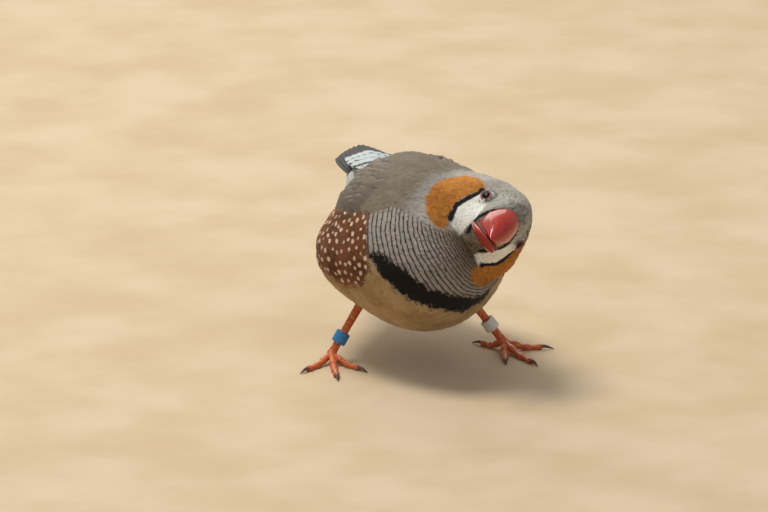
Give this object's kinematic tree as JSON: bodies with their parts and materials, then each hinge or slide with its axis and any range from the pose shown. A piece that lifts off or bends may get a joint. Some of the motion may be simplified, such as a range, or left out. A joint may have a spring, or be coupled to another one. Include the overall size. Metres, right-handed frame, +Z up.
{
  "type": "zebra finch",
  "caption": "Life-size zebra finch cock standing low with its neck bent and its head rolled to the left, red bill slightly open, banded legs.",
  "frame": {"origin": "on the floor under the middle of the bird's bounding box", "axes": "+Z up; the bird faces -Y, its tail points along +Y and its left side is at +X"},
  "size_m": [0.0568, 0.1042, 0.044],
  "materials": {
    "plumage_breast": "matte feathers, finely barred black on grey",
    "plumage_head": "matte feathers, grey with an orange cheek patch",
    "plumage_wing": "matte grey-brown feathers",
    "plumage_tail": "matte black feathers with white bars above",
    "bill": "glossy red horn",
    "eye": "wet, dark red iris and black pupil",
    "leg": "scaly orange skin",
    "band_white": "pale grey-white ring",
    "band_blue": "blue ring"
  },
  "bodies": {
    "root": {"torso": "plumage_breast", "neck": "plumage_head", "head": "plumage_head", "bill_upper": "bill", "bill_lower": "bill", "tail": "plumage_tail", "eye_left": "eye", "eye_right": "eye", "wing_left": "plumage_wing", "wing_right": "plumage_wing", "tarsus_left": "leg", "tarsus_right": "leg", "foot_left": "leg", "foot_right": "leg", "leg_band_left": "band_white", "leg_band_right": "band_blue"}
  },
  "joints": []
}
